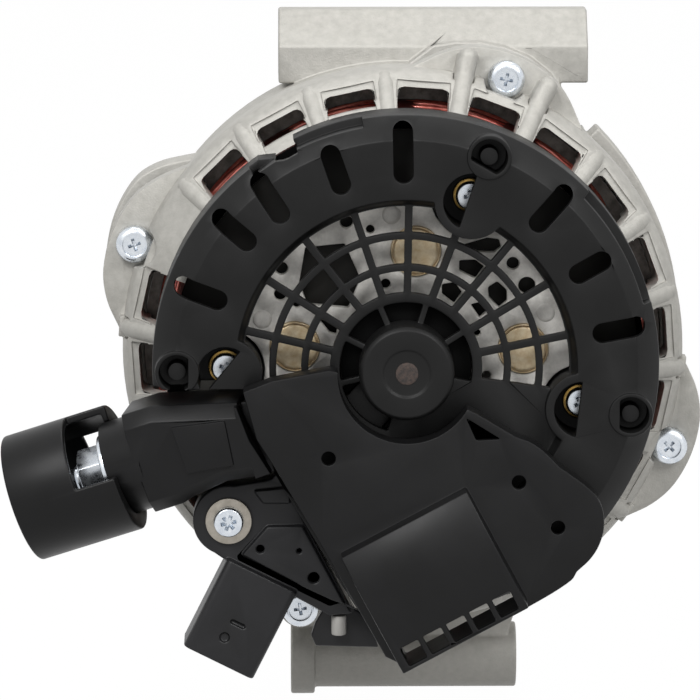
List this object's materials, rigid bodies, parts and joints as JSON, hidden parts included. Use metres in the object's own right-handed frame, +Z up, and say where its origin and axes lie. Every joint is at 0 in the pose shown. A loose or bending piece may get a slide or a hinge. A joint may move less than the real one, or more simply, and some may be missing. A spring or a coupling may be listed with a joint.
{
  "type": "car alternator",
  "caption": "Belt-driven car alternator with internal fans, ribbed pulley, slip rings, rectifier, regulator and covered slip-ring end, with working rotor and sprung brushes.",
  "frame": {"origin": "on the axis of the lower mounting tube, under the shaft", "axes": "+X to the right when the slip-ring end is faced, along the mounting tube; +Z up through the shaft; -Y towards the slip-ring end, along the shaft"},
  "size_m": [0.1809, 0.167, 0.1857],
  "materials": {
    "cast_aluminium": "cast",
    "sheet_aluminium": "satin",
    "laminated_steel": "satin",
    "enamelled_copper": "gloss",
    "zinc_steel": "satin",
    "bearing_steel": "polished",
    "plain_steel": "satin",
    "spring_steel": "satin",
    "pulley_steel": "satin",
    "rotor_iron": "machined",
    "black_polyamide": "satin",
    "sleeve_polymer": "matte",
    "bobbin_polyamide": "matte",
    "wiring_resin": "matte",
    "diode_copper": "satin",
    "rivet_brass": "satin",
    "ring_copper": "polished",
    "tinned_copper": "satin",
    "carbon": "matte"
  },
  "bodies": {
    "housing": {"front_housing": "cast_aluminium", "rear_housing": "cast_aluminium", "stator_core": "laminated_steel", "stator_winding": "enamelled_copper", "through_bolts": "zinc_steel", "front_bearing_outer_ring": "bearing_steel", "rear_bearing_outer_ring": "bearing_steel", "rear_bearing_sleeve": "sleeve_polymer", "bearing_retainer": "plain_steel", "retainer_screws": "zinc_steel", "brush_holder": "black_polyamide", "brush_spring_1": "spring_steel", "brush_spring_2": "spring_steel", "negative_heat_sink": "sheet_aluminium", "positive_heat_sink": "sheet_aluminium", "diode_wiring_plate": "wiring_resin", "positive_diodes": "diode_copper", "negative_diodes": "diode_copper", "heat_sink_spacers": "wiring_resin", "heat_sink_rivets": "sheet_aluminium", "rear_cover": "black_polyamide", "cover_sleeves": "rivet_brass", "cover_screws": "zinc_steel", "terminal_cover": "black_polyamide", "battery_terminal_arm": "black_polyamide", "terminal_cap": "black_polyamide", "battery_stud": "zinc_steel", "battery_washer": "zinc_steel", "battery_nut": "zinc_steel", "battery_busbar": "tinned_copper", "regulator_housing": "black_polyamide", "regulator_heat_sink": "sheet_aluminium", "regulator_screws": "zinc_steel", "regulator_washer": "zinc_steel", "regulator_dowel": "sleeve_polymer", "connector_pins": "tinned_copper", "slip_ring_boot": "black_polyamide"},
    "rotor": {"rotor_shaft": "plain_steel", "shaft_collar": "plain_steel", "pulley_spacer": "plain_steel", "claw_pole_front": "rotor_iron", "claw_pole_rear": "rotor_iron", "coil_bobbin": "bobbin_polyamide", "field_coil": "enamelled_copper", "front_fan": "plain_steel", "rear_fan": "plain_steel", "drive_pulley": "pulley_steel", "pulley_nut": "zinc_steel", "slip_ring_hub": "black_polyamide", "slip_rings": "ring_copper", "front_bearing_inner_ring": "bearing_steel", "rear_bearing_inner_ring": "bearing_steel"},
    "brush_1": {"brush_1": "carbon"},
    "brush_2": {"brush_2": "carbon"}
  },
  "joints": [
    {"name": "rotor_spin", "type": "hinge", "parent": "housing", "child": "rotor", "pos_m": [0, 0, 0.0925], "axis": [0, 1, 0], "continuous": true},
    {"name": "brush_1_slide", "type": "slide", "parent": "housing", "child": "brush_1", "axis": [-0.6691, 0, -0.7431], "range_m": [0, 0.005], "stiffness_N_per_m": 180, "springref_m": -0.009, "deforming": ["brush_spring_1"]},
    {"name": "brush_2_slide", "type": "slide", "parent": "housing", "child": "brush_2", "axis": [-0.6691, 0, -0.7431], "range_m": [0, 0.005], "stiffness_N_per_m": 180, "springref_m": -0.009, "deforming": ["brush_spring_2"]}
  ]
}
